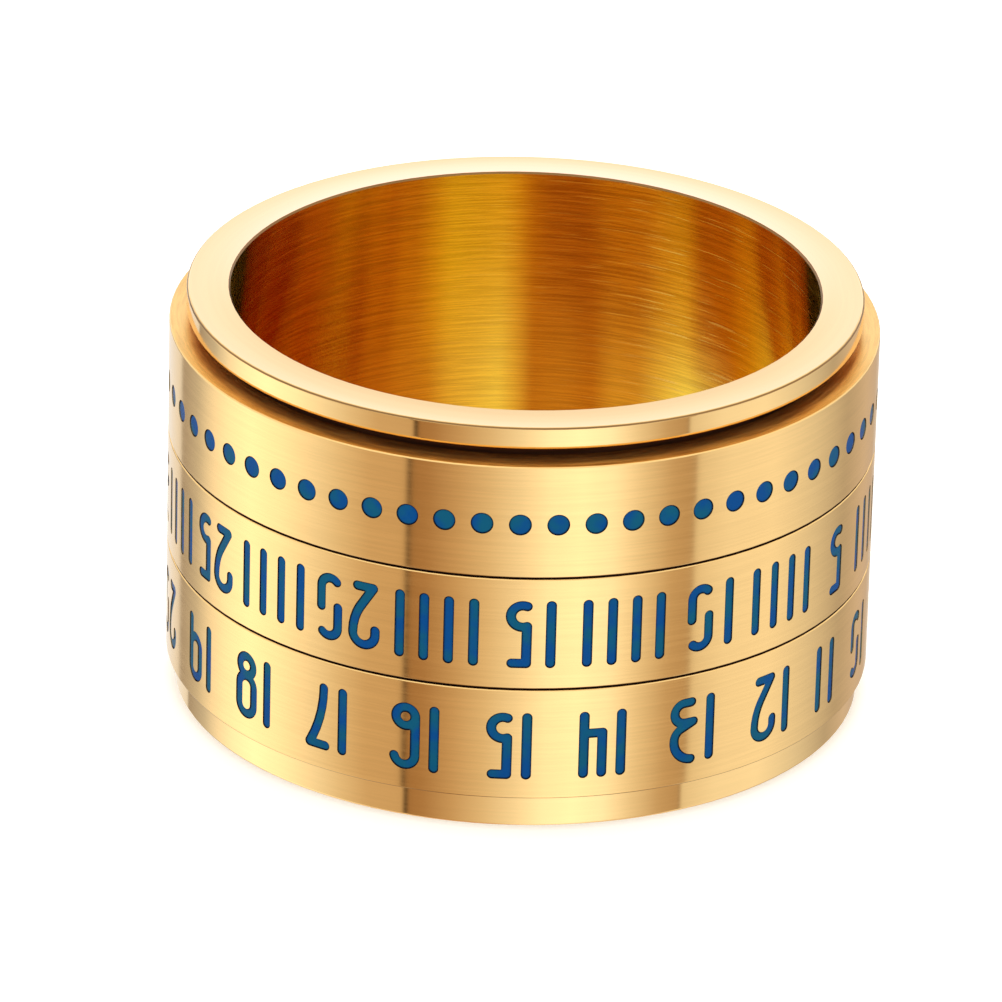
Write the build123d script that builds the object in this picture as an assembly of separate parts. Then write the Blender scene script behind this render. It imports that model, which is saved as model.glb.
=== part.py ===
from build123d import *

import os
from math import cos, pi, radians, sin

# Row counter for knitting, worn as a finger ring. A core sleeve carries three free-turning bands
# between its own flange and a pressed-on collar. The top band is marked with a ring of dots, the
# middle one counts in fives with single ticks between, and the lowest one is numbered 1 to 24.
# The marks are engraved pockets filled with blue enamel. Millimetres, ring axis on Z, standing on
# the flange end at z = 0. The numerals read with the flange end up, so here they stand inverted.

# Core sleeve, flange and collar
BORE_RADIUS = 9.5
RING_WIDTH = 13.73
SLEEVE_RADIUS = 10.35
FLANGE_RADIUS = 11.15
FLANGE_THICKNESS = 1.05
COLLAR_RADIUS = 10.90
COLLAR_THICKNESS = 0.77
COLLAR_ROUNDING = 0.15
TENON_RADIUS = 9.95
TENON_HEIGHT = 0.35
BORE_CHAMFER = 0.06
RIM_EDGE = 0.08

# Bands
BAND_RADIUS = 11.45
BAND_HEIGHT = 3.80
RUNNING_CLEARANCE = 0.06
BAND_EDGE = 0.05

# Engraving and enamel
ENGRAVING_DEPTH = 0.15
ENAMEL_RECESS = 0.03
MARK_HEIGHT = 2.34
STROKE = 0.33
DOT_DIAMETER = 0.72
DOT_ROW_DROP = 0.07
DOT_COUNT = 60
ROW_NUMBER_DROP = 0.05

# Numbers on the middle (tally) band and on the lowest (number) band
TALLY_NUMBERS = range(5, 61, 5)
TICKS_PER_FIVE = 4
TICK_PITCH_DEG = 4.0
ROW_NUMBERS = range(1, 25)
LETTER_GAP = 0.22
TALLY_GAP_AFTER_ONE = 0.43
ROW_GAP_AFTER_ONE = 0.29
DOUBLE_ONE_GAP = 0.50
ROW_NUMBER_GAP = 1.49

# How the bands stand at rest: the number at the front, and how far its middle is from the front
# (-Y) in degrees along the reading direction, which runs from -Y towards -X
FRONT_NUMBER = 15
TALLY_REST_DEG = -2.1
ROW_REST_DEG = 0.9

# Half the height of a numeral's centreline
TOP = (MARK_HEIGHT - STROKE) / 2
LEFT = STROKE / 2


def turned(corners):
    """Ring about Z from a section's (radius, height, rounding) corners."""
    section = make_face(Polyline([corner[:2] for corner in corners], close=True))
    for radius, height, rounding in corners:
        if rounding:
            vertex = section.vertices().sort_by_distance((radius, height, 0))[0]
            section = fillet(vertex, rounding)
    return revolve(Plane.XZ * section, Axis.Z)


def band_bottom(level):
    """Height of a band's lower face; level 0 is the lowest band."""
    return FLANGE_THICKNESS + RUNNING_CLEARANCE + level * (BAND_HEIGHT + RUNNING_CLEARANCE)


def core_sleeve():
    """Sleeve with the flange at its lower end and the tenon for the collar at its upper end."""
    shoulder = RING_WIDTH - COLLAR_THICKNESS
    return turned([
        (BORE_RADIUS, BORE_CHAMFER, 0),
        (BORE_RADIUS + BORE_CHAMFER, 0, 0),
        (FLANGE_RADIUS, 0, RIM_EDGE),
        (FLANGE_RADIUS, FLANGE_THICKNESS, BAND_EDGE),
        (SLEEVE_RADIUS, FLANGE_THICKNESS, 0),
        (SLEEVE_RADIUS, shoulder, 0),
        (TENON_RADIUS, shoulder, 0),
        (TENON_RADIUS, shoulder + TENON_HEIGHT, 0),
        (BORE_RADIUS, shoulder + TENON_HEIGHT, 0),
    ])


def retaining_collar():
    """Collar pressed over the tenon after the bands are on; its top face closes the bore edge."""
    underside = RING_WIDTH - COLLAR_THICKNESS
    return turned([
        (TENON_RADIUS, underside, 0),
        (COLLAR_RADIUS, underside, COLLAR_ROUNDING),
        (COLLAR_RADIUS, RING_WIDTH, RIM_EDGE),
        (BORE_RADIUS + BORE_CHAMFER, RING_WIDTH, 0),
        (BORE_RADIUS, RING_WIDTH - BORE_CHAMFER, 0),
        (BORE_RADIUS, underside + TENON_HEIGHT, 0),
        (TENON_RADIUS, underside + TENON_HEIGHT, 0),
    ])


def plain_band(level):
    """Spinning band before engraving."""
    inner = SLEEVE_RADIUS + RUNNING_CLEARANCE
    bottom = band_bottom(level)
    top = bottom + BAND_HEIGHT
    return turned([
        (inner, bottom, BAND_EDGE),
        (BAND_RADIUS, bottom, BAND_EDGE),
        (BAND_RADIUS, top, BAND_EDGE),
        (inner, top, BAND_EDGE),
    ])


def stroke(*path):
    """Round-ended stroke along a path of joined lines and arcs."""
    return Face(Wire(path).offset_2d(STROKE / 2, kind=Kind.ARC))


def loop(path):
    """Closed stroke, such as the eye of an 8."""
    outer = path.offset_2d(STROKE / 2, kind=Kind.ARC)
    inner = path.offset_2d(-STROKE / 2, kind=Kind.ARC)
    return Face(outer) - Face(inner)


def stadium(left, right, bottom, top):
    """Upright closed path with semicircular ends."""
    radius = (right - left) / 2
    middle = (left + right) / 2
    crown = CenterArc((middle, top - radius), radius, 0, 180)
    foot = CenterArc((middle, bottom + radius), radius, 180, 180)
    return Wire([crown, Line(crown @ 1, foot @ 0), foot, Line(foot @ 1, crown @ 0)])


# Each numeral is drawn with its left edge at x = 0 and its middle at y = 0, and gives its width
# and its strokes.

def zero():
    """Stencilled zero: two hooked strokes, each the other turned by half a turn."""
    width = 0.95
    radius = 0.33
    crown = CenterArc((LEFT + radius, TOP - radius), radius, 45, 135)
    upper = stroke(crown, Line(crown @ 1, (LEFT, -0.03)))
    lower = Pos(width, 0) * Rot(Z=180) * upper
    return width, [upper, lower]


def one():
    return STROKE, [stroke(Line((LEFT, -TOP), (LEFT, TOP)))]


def two():
    radius = 0.39
    crown = CenterArc((LEFT + radius, TOP - radius), radius, 180, -180)
    hook = Line((LEFT, TOP - radius - 0.16), crown @ 0)
    shoulder = JernArc(crown @ 1, (0, -1), 1.8, -30)
    diagonal = Line(shoulder @ 1, (0.25, -TOP))
    foot = Line(diagonal @ 1, (0.80, -TOP))
    return 2 * radius + STROKE, [stroke(hook, crown, shoulder, diagonal, foot)]


def three():
    width = 1.00
    right = width - LEFT
    radius = 0.35
    waist = (LEFT, 2 * radius - TOP)
    brow = ThreePointArc((0.23, TOP), (0.66, 0.78), (right, 0.27))
    bowl = JernArc(brow @ 1, (0, -1), 0.42, -66)
    upper = stroke(brow, bowl, Line(bowl @ 1, waist))
    belly = CenterArc((right - radius, radius - TOP), radius, 90, -180)
    lower = stroke(Line(waist, belly @ 0), belly, Line(belly @ 1, (0.25, -TOP)))
    return width, [upper, lower]


def four():
    width = 0.92
    right = width - LEFT
    bar = -0.40
    open_side = stroke(Line((LEFT, TOP), (LEFT, bar)), Line((LEFT, bar), (right, bar)))
    stem = stroke(Line((right, -TOP), (right, TOP)))
    return width, [open_side, stem]


def five():
    width = 0.84
    right = width - LEFT
    waist = -0.28
    tail = 0.03 - TOP
    flag = Line((0.62, TOP), (0.17, TOP))
    stem = Line(flag @ 1, (LEFT, waist))
    belly = ThreePointArc(stem @ 1, (right, (waist + tail) / 2), (LEFT, tail))
    return width, [stroke(flag, stem, belly)]


def six():
    eye = 0.32
    hook = 0.345
    width = 2 * hook + STROKE
    crown = CenterArc((LEFT + hook, TOP - hook), hook, 12, 168)
    stem = Line(crown @ 1, (LEFT, eye - TOP))
    ring = Wire([CenterArc((LEFT + eye, eye - TOP), eye, 0, 360)])
    return width, [stroke(crown, stem), loop(ring)]


def seven():
    width = 0.93
    right = width - LEFT
    bar = Line((LEFT, TOP), (right, TOP))
    leg = TangentArc((0.25, -TOP), (right, TOP), tangent=(0, 1))
    return width, [stroke(bar, leg)]


def eight():
    width = 1.04
    eye = 0.32
    upper = loop(stadium(LEFT, width - LEFT, -0.32, TOP))
    ring = Wire([CenterArc((width / 2, eye - TOP), eye, 0, 360)])
    return width, [upper, loop(ring)]


def nine():
    width = 1.00
    right = width - LEFT
    eye = loop(stadium(LEFT, right, -0.40, TOP))
    stem = stroke(Line((right, TOP - 0.4), (right, -TOP)))
    return width, [eye, stem]


NUMERALS = [zero(), one(), two(), three(), four(), five(), six(), seven(), eight(), nine()]


def letter_gap(left, right, after_one):
    """Clear space between two neighbouring digits."""
    if left != 1:
        return LETTER_GAP
    return DOUBLE_ONE_GAP if right == 1 else after_one


def typeset(number, after_one):
    """Width of a number, and its digits with the place of each one's left edge."""
    digits = [int(character) for character in str(number)]
    placed = []
    width = 0
    for previous, digit in zip([None] + digits, digits):
        if placed:
            width += letter_gap(previous, digit, after_one)
        placed.append((digit, width))
        width += NUMERALS[digit][0]
    return width, placed


def mark_plane(turn, height):
    """Tangent plane on a band: x along the reading direction, y down the ring, z outwards."""
    outwards = Vector(-sin(radians(turn)), -cos(radians(turn)), 0)
    reading = Vector(-cos(radians(turn)), sin(radians(turn)), 0)
    return Plane(outwards * BAND_RADIUS + Vector(0, 0, height), x_dir=reading, z_dir=outwards)


def punch(face, turn, height):
    """Prism through the band's surface in the shape of one stroke."""
    return extrude(mark_plane(turn, height) * face, 2 * ENGRAVING_DEPTH, both=True)


def number_punches(number, after_one, turn, height):
    """Prisms of one number, centred on a place on the band, one for each separate stroke."""
    width, placed = typeset(number, after_one)
    punches = []
    for digit, left in placed:
        digit_width, strokes = NUMERALS[digit]
        middle = left + digit_width / 2 - width / 2
        digit_turn = turn + middle / BAND_RADIUS * 180 / pi
        outline = Sketch() + strokes
        centred = [Pos(-digit_width / 2, 0) * face for face in outline.faces()]
        punches += [punch(face, digit_turn, height) for face in centred]
    return punches


def engraved_ring(level, outer):
    """Ring from the floor of the engraving out to a radius, over one band's height."""
    floor = BAND_RADIUS - ENGRAVING_DEPTH
    bottom = band_bottom(level)
    top = bottom + BAND_HEIGHT
    return turned([(floor, bottom, 0), (outer, bottom, 0), (outer, top, 0), (floor, top, 0)])


def fill(punches, level):
    """Enamel in the engraving of one mark or a row of marks."""
    enamel_ring = engraved_ring(level, BAND_RADIUS - ENAMEL_RECESS)
    return Compound([solid for tool in punches for solid in (tool & enamel_ring).solids()])


def engrave(level, punches):
    """Band with its engraving cut in."""
    cutting_ring = engraved_ring(level, BAND_RADIUS + ENGRAVING_DEPTH)
    return plain_band(level) - [tool & cutting_ring for tool in punches]


def band_middle(level):
    return band_bottom(level) + BAND_HEIGHT / 2


def dot_marks(level):
    """Row of evenly spaced dots."""
    height = band_middle(level) - DOT_ROW_DROP
    dot = Circle(DOT_DIAMETER / 2).face()
    return [punch(dot, 360 / DOT_COUNT * index, height) for index in range(DOT_COUNT)]


def tally_turn(number):
    """Place of a number on the tally band, in degrees along the reading direction."""
    pitch = 360 / len(TALLY_NUMBERS)
    return TALLY_REST_DEG + (number - FRONT_NUMBER) / TALLY_NUMBERS.step * pitch


def tick_marks(level):
    """Four ticks between each number and the next, set midway."""
    bar = Pos(-LEFT, 0) * one()[1][0]
    half_pitch = 180 / len(TALLY_NUMBERS)
    spread = [TICK_PITCH_DEG * (index - (TICKS_PER_FIVE - 1) / 2) for index in range(TICKS_PER_FIVE)]
    turns = [tally_turn(number) + half_pitch + offset for number in TALLY_NUMBERS for offset in spread]
    return [punch(bar, turn, band_middle(level)) for turn in turns]


def row_turns():
    """Places of the row numbers, set with equal gaps; what is left over falls after the last."""
    middles = {}
    edge = 0
    for number in ROW_NUMBERS:
        width = typeset(number, ROW_GAP_AFTER_ONE)[0]
        middles[number] = edge + width / 2
        edge += width + ROW_NUMBER_GAP
    circumference = 2 * pi * BAND_RADIUS
    return {
        number: ROW_REST_DEG + (middle - middles[FRONT_NUMBER]) / circumference * 360
        for number, middle in middles.items()
    }


def write(name, shape):
    """Write one sub-part as a STEP file named after it."""
    shape.label = name
    export_step(shape, f"parts/{name}.step")


def write_number_band(level):
    """Lowest band and the enamel of each of its numbers."""
    height = band_middle(level) - ROW_NUMBER_DROP
    marks = {
        number: number_punches(number, ROW_GAP_AFTER_ONE, turn, height)
        for number, turn in row_turns().items()
    }
    write("number_band", engrave(level, [tool for tools in marks.values() for tool in tools]))
    for number, tools in marks.items():
        write(f"number_enamel_{number:02d}", fill(tools, level))


def write_tally_band(level):
    """Middle band, the enamel of its ticks and of each of its numbers."""
    ticks = tick_marks(level)
    marks = {
        number: number_punches(number, TALLY_GAP_AFTER_ONE, tally_turn(number), band_middle(level))
        for number in TALLY_NUMBERS
    }
    write("tally_band", engrave(level, ticks + [tool for tools in marks.values() for tool in tools]))
    write("tally_tick_enamel", fill(ticks, level))
    for number, tools in marks.items():
        write(f"tally_enamel_{number:02d}", fill(tools, level))


def write_dot_band(level):
    """Top band and the enamel of its dots."""
    dots = dot_marks(level)
    write("dot_band", engrave(level, dots))
    write("dot_enamel", fill(dots, level))


os.makedirs("parts", exist_ok=True)
write("core_sleeve", core_sleeve())
write("retaining_collar", retaining_collar())
write_number_band(0)
write_tally_band(1)
write_dot_band(2)
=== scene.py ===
from math import cos, pi, radians, sin

import bpy
from mathutils import Matrix, Vector

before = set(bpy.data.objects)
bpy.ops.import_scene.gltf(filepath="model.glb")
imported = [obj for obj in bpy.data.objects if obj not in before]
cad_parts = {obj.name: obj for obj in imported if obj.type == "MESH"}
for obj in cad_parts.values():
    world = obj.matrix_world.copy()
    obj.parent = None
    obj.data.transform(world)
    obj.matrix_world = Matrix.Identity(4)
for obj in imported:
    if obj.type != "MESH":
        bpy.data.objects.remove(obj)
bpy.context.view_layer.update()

MM = 0.001

# Camera: place in mm from the ring's origin, the photograph's viewing angle, lens and sensor in mm
CAMERA_PLACE = Vector((-0.80, -269.57, 131.69)) * MM
CAMERA_PITCH = radians(24.974)
CAMERA_YAW = radians(0.039)
CAMERA_ROLL = radians(1.515)
CAMERA_LENS = 328.74
CAMERA_SENSOR = 36.0

# Radii on the ring, mm: its bore, a hair outside it, inside the sleeve's wall, and the middle of the
# collar's top face
BORE_RADIUS = 9.5
AROUND_BORE = BORE_RADIUS + 0.001
IN_SLEEVE_WALL = 9.7
FACE_MIDDLE = 10.2

# Heights on the ring, mm: just above the flange, and between the dots and the dot band's top face
ABOVE_FLANGE = 1.1
ABOVE_DOTS = 12.0

# Floor, metres, and the light that it gives off itself
FLOOR_SIZE = 6.0
FLOOR_GLOW = 0.30


class Tree:
    """A node tree with short calls for adding and joining nodes."""

    def __init__(self, tree):
        self.tree = tree
        tree.nodes.clear()

    def node(self, kind, inputs=None, **settings):
        """Add a node. An input is a value, or another node's socket to join it to."""
        node = self.tree.nodes.new(kind)
        for name, value in settings.items():
            setattr(node, name, value)
        for name, value in (inputs or {}).items():
            self.feed(node.inputs[name], value)
        return node

    def feed(self, socket, value):
        if isinstance(value, bpy.types.NodeSocket):
            self.tree.links.new(value, socket)
        else:
            socket.default_value = value

    def math(self, operation, first, second=0.0, third=0.0):
        node = self.node("ShaderNodeMath", {0: first, 1: second, 2: third}, operation=operation)
        return node.outputs[0]

    def vector(self, operation, first, second=(0.0, 0.0, 0.0)):
        node = self.node("ShaderNodeVectorMath", {0: first, 1: second}, operation=operation)
        return node.outputs["Value" if operation in ("DOT_PRODUCT", "LENGTH") else "Vector"]

    def scaled(self, vector, factor):
        inputs = {0: vector, "Scale": factor}
        return self.node("ShaderNodeVectorMath", inputs, operation="SCALE").outputs["Vector"]

    def parts(self, vector):
        """The vector's outputs X, Y and Z."""
        return self.node("ShaderNodeSeparateXYZ", {0: vector}).outputs

    def smooth(self, value, low, high, start=0.0, end=1.0):
        """Smooth step of a value from start, at low, to end, at high."""
        inputs = {"Value": value, "From Min": low, "From Max": high, "To Min": start, "To Max": end}
        node = self.node("ShaderNodeMapRange", inputs, interpolation_type="SMOOTHSTEP")
        return node.outputs["Result"]

    def noise(self, vector, scale=1.0, detail=2.0, roughness=0.5):
        inputs = {"Vector": vector, "Scale": scale, "Detail": detail, "Roughness": roughness}
        return self.node("ShaderNodeTexNoise", inputs).outputs["Fac"]

    def mix(self, share, first, second):
        difference = self.math("SUBTRACT", second, first)
        return self.math("ADD", first, self.math("MULTIPLY", share, difference))

    def mix_colour(self, share, first, second):
        node = self.node("ShaderNodeMix", data_type="RGBA")
        colours = [socket for socket in node.inputs if socket.type == "RGBA"]
        self.feed(node.inputs[0], share)
        self.feed(colours[0], first)
        self.feed(colours[1], second)
        return next(socket for socket in node.outputs if socket.type == "RGBA")


def new_material(name):
    material = bpy.data.materials.new(name)
    material.use_nodes = True
    return material, Tree(material.node_tree)


class RingPlace:
    """Where a shaded point is on the ring, in its body's own millimetres."""

    # Sine of the widest angle by which a mesh's facets may miss the true round wall
    FACET_ERROR = 0.12
    # Upward part of the normal of a face that counts as level, as nearly level, and as an underside
    LEVEL = 0.99
    NEARLY_LEVEL = 0.98
    UNDERSIDE = -0.9
    # Upward part of the normal over which a wall turns into an edge, and an edge into a level face
    EDGE_START = (0.15, 0.45)
    EDGE_END = (0.80, 0.97)
    # Where the scratches' wear starts and ends along X, mm, and the least share of it
    WEAR_START = -3.0
    WEAR_END = 7.0
    LEAST_WEAR = 0.35

    def __init__(self, tree):
        coordinates = tree.node("ShaderNodeTexCoord")
        self.tree = tree
        self.place = tree.scaled(coordinates.outputs["Object"], 1 / MM)
        self.normal = coordinates.outputs["Normal"]
        self.height = tree.parts(self.place)["Z"]
        self.tilt = tree.parts(self.normal)["Z"]
        flat = tree.vector("MULTIPLY", self.place, (1.0, 1.0, 0.0))
        self.radius = tree.vector("LENGTH", flat)
        self.outwards = tree.vector("NORMALIZE", flat)
        self.along = tree.vector("CROSS_PRODUCT", (0.0, 0.0, 1.0), self.outwards)

    def turned_normal(self, dishing):
        """The mesh's normal with its small faceting error around the ring taken out.

        Dishing makes a face that looks up slightly hollow; it is the tilt per mm of radius.
        """
        tree = self.tree
        error = tree.vector("DOT_PRODUCT", self.normal, self.along)
        is_turned = tree.math("LESS_THAN", tree.math("ABSOLUTE", error), self.FACET_ERROR)
        correction = tree.scaled(self.along, self.both(error, is_turned))
        normal = tree.vector("SUBTRACT", self.normal, correction)
        from_middle = tree.math("SUBTRACT", self.radius, FACE_MIDDLE)
        looks_up = tree.math("GREATER_THAN", self.tilt, self.NEARLY_LEVEL)
        lean = self.both(tree.math("MULTIPLY", from_middle, -dishing), looks_up)
        normal = tree.vector("ADD", normal, tree.scaled(self.outwards, lean))
        node = tree.node(
            "ShaderNodeVectorTransform",
            {0: tree.vector("NORMALIZE", normal)},
            vector_type="NORMAL",
            convert_from="OBJECT",
            convert_to="WORLD",
        )
        return node.outputs[0]

    def streaks(self, fineness, length, detail=3.0):
        """Brushing that runs around the ring: fineness in lines per mm, length in mm."""
        tree = self.tree
        parts = tree.parts(self.place)
        lane = tree.math("ADD", self.height, self.radius)
        inputs = {
            "X": tree.math("MULTIPLY", parts["X"], 1 / length),
            "Y": tree.math("MULTIPLY", parts["Y"], 1 / length),
            "Z": tree.math("MULTIPLY", lane, fineness),
        }
        squeezed = tree.node("ShaderNodeCombineXYZ", inputs).outputs["Vector"]
        return tree.noise(squeezed, detail=detail, roughness=0.6)

    def wear(self, strength):
        """Strength of the scratches, which lie closer on the +X side."""
        across = self.tree.parts(self.place)["X"]
        least = strength * self.LEAST_WEAR
        return self.tree.smooth(across, self.WEAR_START, self.WEAR_END, least, strength)

    def both(self, first, second):
        """Product of two masks, or of a value and its mask."""
        return self.tree.math("MULTIPLY", first, second)

    def inside(self, radius):
        return self.tree.math("LESS_THAN", self.radius, radius)

    def outside(self, radius):
        return self.tree.math("GREATER_THAN", self.radius, radius)

    def above(self, height):
        return self.tree.math("GREATER_THAN", self.height, height)

    def flat_up(self):
        return self.tree.math("GREATER_THAN", self.tilt, self.LEVEL)

    def flat_down(self):
        return self.tree.math("LESS_THAN", self.tilt, self.UNDERSIDE)

    def flat_end(self):
        return self.tree.math("GREATER_THAN", self.tree.math("ABSOLUTE", self.tilt), self.LEVEL)

    def partly_up(self):
        """Edges between an upright wall and a face that looks up."""
        off_wall = self.tree.smooth(self.tilt, *self.EDGE_START)
        off_face = self.tree.smooth(self.tilt, *self.EDGE_END, 1.0, 0.0)
        return self.both(off_wall, off_face)

    def partly_down(self):
        """Edges below an upright wall."""
        near, far = self.EDGE_START
        return self.tree.smooth(self.tilt, -far, -near, 1.0, 0.0)


SCRATCH_GOLD = (1.0, 0.64, 0.16, 1)
SCRATCH_ROUGHNESS = 0.40


class Finish:
    """Look of a gold surface: the brushing's lines per mm, their length and depth in mm.

    Tone is how far the brushing lightens and darkens the colour. Scratches are the share of
    bright gold in the single deep lines among the brushing.
    """

    # Share of broad lines in the brushing, and how much broader and longer they are
    BROAD_SHARE = 0.25
    BROADER = 3
    LONGER = 1.7
    # Ranges of the brushing's noise that its tone, its roughness and its deep lines span
    TONE_RANGE = (0.36, 0.64)
    ROUGHNESS_RANGE = (0.3, 0.7)
    DEEP_RANGE = (0.62, 0.72)
    # How far the roughness varies, and the deep lines' length, as shares of the whole
    ROUGHNESS_CHANGE = 0.15
    DEEP_LENGTH = 0.8

    def __init__(self, colour, roughness, fineness, length, depth, tone, scratches=0.0):
        self.colour = colour
        self.roughness = roughness
        self.fineness = fineness
        self.length = length
        self.depth = depth
        self.tone = tone
        self.scratches = scratches

    def sockets(self, ring):
        """Colour, roughness and height of the surface."""
        tree = ring.tree
        fine = ring.streaks(self.fineness, self.length)
        broad = ring.streaks(self.fineness / self.BROADER, self.length * self.LONGER, detail=1.0)
        broad = tree.math("MULTIPLY", broad, self.BROAD_SHARE)
        grain = tree.math("MULTIPLY_ADD", fine, 1.0 - self.BROAD_SHARE, broad)
        lightness = tree.smooth(grain, *self.TONE_RANGE, 1.0 - self.tone, 1.0 + self.tone)
        colour = tree.scaled(self.colour, lightness)
        smoothest = self.roughness * (1.0 - self.ROUGHNESS_CHANGE)
        roughest = self.roughness * (1.0 + self.ROUGHNESS_CHANGE)
        roughness = tree.smooth(grain, *self.ROUGHNESS_RANGE, smoothest, roughest)
        if self.scratches:
            lines = ring.streaks(self.fineness, self.length * self.DEEP_LENGTH, detail=1.0)
            share = ring.both(tree.smooth(lines, *self.DEEP_RANGE), ring.wear(self.scratches))
            colour = tree.mix_colour(share, colour, SCRATCH_GOLD)
            roughness = tree.mix(share, roughness, SCRATCH_ROUGHNESS)
        return colour, roughness, tree.math("MULTIPLY", grain, self.depth * MM)


# Colour, roughness, the brushing's lines per mm, their length and depth, and tone
SATIN = Finish((0.96, 0.64, 0.265), 0.12, 12.0, 4.0, 0.00008, 0.03)
POLISHED = Finish((0.98, 0.67, 0.29), 0.08, 10.0, 5.0, 0.00004, 0.015)
LAPPED = Finish((0.99, 0.70, 0.40), 0.04, 6.0, 8.0, 0.00001, 0.012)
BRUSHED = Finish((0.78, 0.50, 0.05), 0.15, 20.0, 2.4, 0.00010, 0.15, scratches=0.55)
TURNED = Finish((0.91, 0.55, 0.17), 0.21, 9.0, 1.6, 0.00012, 0.12)
# Rougher gold for the collar's underside; its darker colour is painted shade under the collar
DULL_AND_SHADED = Finish((0.70, 0.34, 0.08), 0.35, 8.0, 2.0, 0.00010, 0.15)
# Near-black painted shade for the groove under the collar and the gaps between the bands, where little
# light falls
PAINTED_SHADE = Finish((0.05, 0.02, 0.012), 0.40, 8.0, 2.0, 0.0, 0.30)
# Dark painted shade drawn as lines along the collar's upper edges and the bands' lower edges
PAINTED_EDGE_SHADE = Finish((0.28, 0.15, 0.06), 0.20, 8.0, 3.0, 0.0, 0.10)

# How hollow the collar's top face is lapped: tilt per mm of radius
DISHING = 0.0175


def gold(name, finish, zones, dishing=0.0):
    """Gold-plated steel, with another finish in each zone given as a (mask, finish) pair."""
    material, tree = new_material(name)
    ring = RingPlace(tree)
    colour, roughness, height = finish.sockets(ring)
    for find_zone, zone_finish in zones:
        mask = find_zone(ring)
        zone_colour, zone_roughness, zone_height = zone_finish.sockets(ring)
        colour = tree.mix_colour(mask, colour, zone_colour)
        roughness = tree.mix(mask, roughness, zone_roughness)
        height = tree.mix(mask, height, zone_height)
    bump = tree.node(
        "ShaderNodeBump",
        {"Height": height, "Strength": 1.0, "Distance": 1.0, "Normal": ring.turned_normal(dishing)},
    )
    tangent = tree.node("ShaderNodeTangent", direction_type="RADIAL", axis="Z")
    surface = tree.node(
        "ShaderNodeBsdfPrincipled",
        {
            "Base Color": colour,
            "Metallic": 1.0,
            "Roughness": roughness,
            "Anisotropic": 1.0,
            "Anisotropic Rotation": 0.25,
            "Normal": bump.outputs["Normal"],
            "Tangent": tangent.outputs["Tangent"],
        },
    )
    tree.node("ShaderNodeOutputMaterial", {"Surface": surface.outputs["BSDF"]})
    return material


def core_gold():
    """Polished flange, brushed bore and painted shade on the running surface under the bands."""
    return gold("core_gold", POLISHED, [
        (lambda ring: ring.inside(IN_SLEEVE_WALL), BRUSHED),
        # Painted shade on the sleeve's wall in the groove under the collar
        (lambda ring: ring.both(ring.outside(IN_SLEEVE_WALL), ring.above(ABOVE_FLANGE)), PAINTED_SHADE),
    ])


def collar_gold():
    """Polished side, brushed bore, lapped top face, painted shade on the upper edges, and a dull
    underside with painted shade.
    """
    return gold("collar_gold", POLISHED, [
        # Dull finish with painted shade on the collar's underside
        (lambda ring: ring.flat_down(), DULL_AND_SHADED),
        (lambda ring: ring.inside(AROUND_BORE), BRUSHED),
        (lambda ring: ring.flat_up(), LAPPED),
        # Painted shade along the collar's upper edges
        (lambda ring: ring.partly_up(), PAINTED_EDGE_SHADE),
    ], dishing=DISHING)


def band_gold():
    """Satin side with painted shade on its lower edges and on its end faces, but for a brightly turned
    top one.
    """
    return gold("band_gold", SATIN, [
        # Painted shade along the lower edges of the bands, at the gaps between parts
        (lambda ring: ring.partly_down(), PAINTED_EDGE_SHADE),
        # Painted shade on the end faces in the gaps between the bands
        (lambda ring: ring.flat_end(), PAINTED_SHADE),
        (lambda ring: ring.both(ring.flat_up(), ring.above(ABOVE_DOTS)), TURNED),
    ])


# Enamel: its two blues and how many of their clouds there are per mm, and the width in mm of the
# painted shade round its rim
BLUE = (0.0015, 0.055, 0.215, 1)
TEAL = (0.003, 0.080, 0.155, 1)
CLOUDS = 1.1
# Dark blue of the painted shade round the enamel's rim
RIM_SHADE_BLUE = (0.0005, 0.004, 0.020, 1)
RIM_WIDTH = 0.12
# Cosines of the bevel's bend from the darkest of the painted rim shade to none
RIM_BEND = (0.93, 0.9995)
ENAMEL_ROUGHNESS = (0.25, 0.35)


def blue_enamel():
    """Glossy blue resin, with painted shade where it meets the wall of its pocket."""
    material, tree = new_material("blue_enamel")
    ring = RingPlace(tree)
    cloud = tree.noise(ring.place, scale=CLOUDS, detail=2.0)
    blue = tree.mix_colour(tree.smooth(cloud, 0.35, 0.65), BLUE, TEAL)
    bevel = tree.node("ShaderNodeBevel", {"Radius": RIM_WIDTH * MM}, samples=8)
    geometry = tree.node("ShaderNodeNewGeometry")
    facing = tree.vector("DOT_PRODUCT", bevel.outputs["Normal"], geometry.outputs["Normal"])
    # Painted shade along the enamel's rim, next to the pocket's wall
    painted_rim_shade = tree.smooth(facing, *RIM_BEND, 1.0, 0.0)
    surface = tree.node(
        "ShaderNodeBsdfPrincipled",
        {
            "Base Color": tree.mix_colour(painted_rim_shade, blue, RIM_SHADE_BLUE),
            "Roughness": tree.smooth(cloud, 0.3, 0.7, *ENAMEL_ROUGHNESS),
            "Specular IOR Level": 0.04,
        },
    )
    tree.node("ShaderNodeOutputMaterial", {"Surface": surface.outputs["BSDF"]})
    return material


def dress(names, material):
    """Give CAD nodes a material in place of their plain one."""
    for name in names:
        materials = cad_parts[name].data.materials
        materials.clear()
        materials.append(material)


def dress_ring():
    dress(["core_sleeve"], core_gold())
    dress(["retaining_collar"], collar_gold())
    dress(["dot_band", "tally_band", "number_band"], band_gold())
    dress([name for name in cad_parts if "enamel" in name], blue_enamel())


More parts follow.
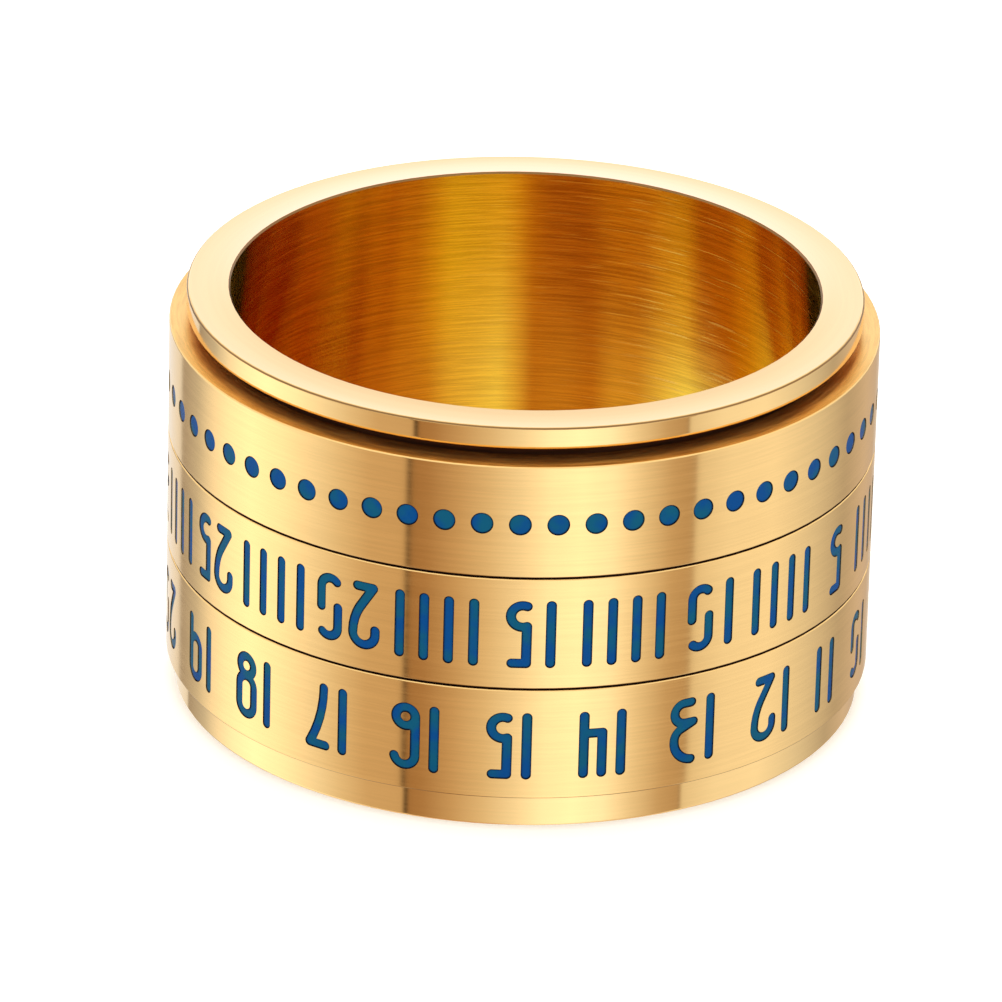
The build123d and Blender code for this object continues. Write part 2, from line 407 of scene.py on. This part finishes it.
# Studio walls around the ring: compass direction in degrees from the camera's side, positive to
# the right, then brightness, then warmth. Between entries they change evenly; two entries 0.4 degrees
# apart are the edge of a panel.
WALLS = [
    (-180, 1.00, 0.0), (-150, 0.90, 0.0), (-145.3, 0.85, 0.0), (-144.9, 0.40, 0.3), (-130, 0.60, 0.0),
    (-120, 1.00, 0.0), (-110, 1.30, 0.0), (-98, 1.50, 0.0), (-84, 1.30, 0.0), (-70, 0.97, 0.5),
    (-60, 0.80, 1.0), (-50, 0.65, 1.1), (-36.7, 0.62, 1.1), (-36.3, 0.38, 1.1), (-30, 0.43, 1.1),
    (-20, 0.60, 1.1), (-10, 0.77, 1.0), (0, 0.96, 0.5), (10, 1.25, 0.3), (20, 1.38, 0.2),
    (30, 1.20, 0.5), (40, 0.87, 0.8), (50, 0.60, 0.9), (57.9, 0.50, 0.9), (58.3, 0.80, 0.5),
    (72, 0.97, 0.2), (90, 1.03, 0.0), (110, 0.78, 0.0), (130, 0.50, 0.2), (148, 0.66, 0.8),
    (164, 0.60, 0.9), (180, 1.00, 0.0),
]
# Dark gaps between panels: direction, half width in degrees, darkness
SEAMS = [(-36.1, 1.6, 0.75), (-144.9, 1.0, 0.35), (57.9, 1.0, 0.25)]

# Sine of the height below and above the horizon between which walls turn into ceiling
HORIZON = 0.10

# Ceiling: (sine of the height above the horizon, brightness) where each slope starts and ends. It
# rises to a bright band, falls above the band, and rises a little towards the top.
BAND_RISE = [(0.28, 0.0), (0.365, 0.38)]
BAND_FALL = [(0.37, 1.40), (0.43, 0.98)]
TOP_RISE = [(0.45, 0.0), (0.60, 0.12)]
# Above the band its whiteness fades in the same way
WHITE_FADE = [(0.37, 1.0), (0.42, 0.0)]
CEILING_CREAM = (1.0, 0.99, 0.90, 1)
CEILING_WHITE = (1.0, 1.0, 1.7, 1)

# Lit paper shade that carries on the bore below the table, mm, and its panels: direction, brightness
SHADE_RADIUS = BORE_RADIUS
SHADE_DEPTH = 14.0
SHADE_SIDES = 180
SHADE_STRENGTH = 1.25
SHADE_WARMTH = 2.8
SHADE = [
    (-180, 0.70), (-170, 0.86), (-155, 1.02), (-130, 1.06), (-105, 1.10), (-88, 0.92), (-70, 0.68),
    (-55, 0.70), (-42, 0.52), (-25, 0.58), (-15, 0.57), (-5, 0.53), (5, 0.80), (15, 0.95), (30, 0.86),
    (45, 0.78), (58, 0.57), (75, 0.54), (90, 0.47), (105, 0.41), (130, 0.37), (155, 0.44), (172, 0.60),
    (180, 0.70),
]

# Fine upright fins on the shade, in mm and in degrees to the right of the camera's side. They are
# edge on to light that has crossed the bore once, and turn a red side to light that has run round it.
FIN_PITCH = 0.10
FIN_LENGTH = 0.10
FIN_ENDS = (-20, 92)
FIN_RED = (0.30, 0.006, 0.001, 1)
# Share of its own compass direction that a fin points in, as light does that has crossed the bore once
FIN_LEAN = 2 / 3
# Share of the row at each end over which the fins grow to their full length
FIN_TAPER = 0.1


def wall_colour(level, warmth):
    """Red, green and blue of a panel. Warmth reddens one that is dimmer than 1."""
    return level, level ** (1 + 0.5 * warmth), level ** (1 + 1.1 * warmth)


def compass_colours(tree, parts, panels):
    """Compass direction of a vector in radians, and the colour that the panels give it."""
    compass = tree.math("ARCTAN2", parts["X"], tree.math("MULTIPLY", parts["Y"], -1.0))
    share = tree.math("MULTIPLY_ADD", compass, 1 / (2 * pi), 0.5)
    ramp = tree.node("ShaderNodeValToRGB", {"Fac": share})
    stops = ramp.color_ramp.elements
    while len(stops) < len(panels):
        stops.new(0.5)
    for stop, (angle, _, _) in zip(stops, panels):
        stop.position = angle / 360 + 0.5
    for stop, (_, level, warmth) in zip(stops, panels):
        stop.color = (*wall_colour(level, warmth), 1.0)
    return compass, ramp.outputs["Color"]


def studio_walls(tree, parts):
    """Colour of the panels, with the dark gaps between them."""
    compass, colour = compass_colours(tree, parts, WALLS)
    for angle, half_width, darkness in SEAMS:
        distance = tree.math("ABSOLUTE", tree.math("SUBTRACT", compass, radians(angle)))
        dimming = tree.smooth(distance, 0.0, radians(half_width), 1.0 - darkness, 1.0)
        colour = tree.scaled(colour, dimming)
    return colour


def slope(tree, value, ends):
    """Smooth slope between two pairs of a value and its result."""
    (low, start), (high, end) = ends
    return tree.smooth(value, low, high, start, end)


def ceiling(tree, height):
    """Cream ceiling, with a brighter and whiter band round it about 22 degrees above the horizon."""
    rise = slope(tree, height, BAND_RISE)
    level = tree.math("ADD", slope(tree, height, BAND_FALL), slope(tree, height, TOP_RISE))
    level = tree.math("ADD", level, tree.math("SUBTRACT", rise, BAND_RISE[1][1]))
    whiteness = tree.math("MULTIPLY", rise, slope(tree, height, WHITE_FADE))
    return tree.scaled(tree.mix_colour(whiteness, CEILING_CREAM, CEILING_WHITE), level)


def studio():
    """Walls lit in upright panels below a ceiling, seen by the gold all round it."""
    world = bpy.data.worlds.new("studio")
    bpy.context.scene.world = world
    world.use_nodes = True
    tree = Tree(world.node_tree)
    parts = tree.parts(tree.node("ShaderNodeTexCoord").outputs["Generated"])
    upwards = tree.smooth(parts["Z"], -HORIZON, HORIZON)
    colour = tree.mix_colour(upwards, studio_walls(tree, parts), ceiling(tree, parts["Z"]))
    background = tree.node("ShaderNodeBackground", {"Color": colour, "Strength": 1.0})
    tree.node("ShaderNodeOutputWorld", {"Surface": background.outputs["Background"]})


def overhead_light():
    """Large soft box above the ring, a little behind it, which the gold doesn't mirror."""
    light = bpy.data.lights.new("overhead", "AREA")
    light.shape = "DISK"
    light.size = 0.5
    light.energy = 2.0
    lamp = bpy.data.objects.new("overhead", light)
    lamp.location = (0.0, 0.1, 0.6)
    lamp.rotation_euler = (radians(-9), 0.0, 0.0)
    lamp.visible_glossy = False
    bpy.context.scene.collection.objects.link(lamp)


def stage_piece(name, corners, faces, material):
    """Add a part of the studio, which isn't part of the ring."""
    mesh = bpy.data.meshes.new(name)
    mesh.from_pydata(corners, [], faces)
    mesh.materials.append(material)
    piece = bpy.data.objects.new(name, mesh)
    bpy.context.scene.collection.objects.link(piece)
    return piece


def floor():
    """Plain pale table that the ring stands on, faintly lit from within; the gold doesn't mirror it."""
    half = FLOOR_SIZE / 2
    corners = [(-half, -half, 0), (half, -half, 0), (half, half, 0), (-half, half, 0)]
    material, tree = new_material("pale_floor")
    surface = tree.node("ShaderNodeBsdfDiffuse", {"Color": (0.85, 0.85, 0.85, 1)})
    glow = tree.node("ShaderNodeEmission", {"Color": (1.0, 0.99, 0.97, 1), "Strength": FLOOR_GLOW})
    both = tree.node("ShaderNodeAddShader", {0: surface.outputs["BSDF"], 1: glow.outputs["Emission"]})
    tree.node("ShaderNodeOutputMaterial", {"Surface": both.outputs["Shader"]})
    stage_piece("floor", corners, [(0, 1, 2, 3)], material).visible_glossy = False


def paper_colour(tree):
    """Colour of the shade's lit paper at the shaded point."""
    parts = tree.parts(tree.node("ShaderNodeTexCoord").outputs["Object"])
    panels = [(angle, level, SHADE_WARMTH) for angle, level in SHADE]
    return compass_colours(tree, parts, panels)[1]


def fin_colour(tree):
    """Red on the front of each fin, and the paper's own colour on its back."""
    from_behind = tree.node("ShaderNodeNewGeometry").outputs["Backfacing"]
    return tree.mix_colour(from_behind, FIN_RED, paper_colour(tree))


def mirrored_piece(name, corners, faces, find_colour):
    """A glowing part of the studio that shows only in reflections."""
    material, tree = new_material(name)
    glow = tree.node("ShaderNodeEmission", {"Color": find_colour(tree), "Strength": SHADE_STRENGTH})
    tree.node("ShaderNodeOutputMaterial", {"Surface": glow.outputs["Emission"]})
    piece = stage_piece(name, corners, faces, material)
    piece.visible_camera = False
    piece.visible_diffuse = False
    piece.visible_shadow = False


def compass_point(radius, direction):
    return Vector((radius * sin(direction), -radius * cos(direction), 0.0)) * MM


SHADE_DROP = Vector((0.0, 0.0, -SHADE_DEPTH)) * MM


def bore_shade():
    """Paper cylinder that carries on the bore below the table."""
    corners = []
    for index in range(SHADE_SIDES):
        top = compass_point(SHADE_RADIUS, 2 * pi * index / SHADE_SIDES)
        corners += [top, top + SHADE_DROP]
    count = len(corners)
    faces = [(k, k + 1, (k + 3) % count, (k + 2) % count) for k in range(0, count, 2)]
    mirrored_piece("shade", corners, faces, paper_colour)


def shade_fins():
    """Two-sided fins that stand on the inside of the shade, shorter near both ends of the row."""
    start, end = map(radians, FIN_ENDS)
    count = round(SHADE_RADIUS * (end - start) / FIN_PITCH)
    corners = []
    for index in range(count):
        share = (index + 0.5) / count
        direction = start + share * (end - start)
        length = FIN_LENGTH * min(1.0, share / FIN_TAPER, (1 - share) / FIN_TAPER)
        base = compass_point(SHADE_RADIUS, direction)
        tip = base - compass_point(length, direction * FIN_LEAN)
        corners += [base, base + SHADE_DROP, tip + SHADE_DROP, tip]
    faces = [(k, k + 1, k + 2, k + 3) for k in range(0, len(corners), 4)]
    mirrored_piece("fins", corners, faces, fin_colour)


def camera():
    """Camera with a long lens, looking down at the front of the ring."""
    ahead = Vector((
        sin(CAMERA_YAW) * cos(CAMERA_PITCH), cos(CAMERA_YAW) * cos(CAMERA_PITCH), -sin(CAMERA_PITCH)
    ))
    level = ahead.cross(Vector((0, 0, 1))).normalized()
    rise = level.cross(ahead)
    across = level * cos(CAMERA_ROLL) + rise * sin(CAMERA_ROLL)
    up = rise * cos(CAMERA_ROLL) - level * sin(CAMERA_ROLL)
    data = bpy.data.cameras.new("camera")
    data.lens = CAMERA_LENS
    data.sensor_width = CAMERA_SENSOR
    data.clip_start = 0.01
    viewer = bpy.data.objects.new("camera", data)
    turn = Matrix((across, up, -ahead)).transposed().to_4x4()
    viewer.matrix_world = Matrix.Translation(CAMERA_PLACE) @ turn
    bpy.context.scene.collection.objects.link(viewer)
    bpy.context.scene.camera = viewer


dress_ring()
studio()
overhead_light()
floor()
bore_shade()
shade_fins()
camera()
bpy.context.scene.view_settings.view_transform = "Standard"
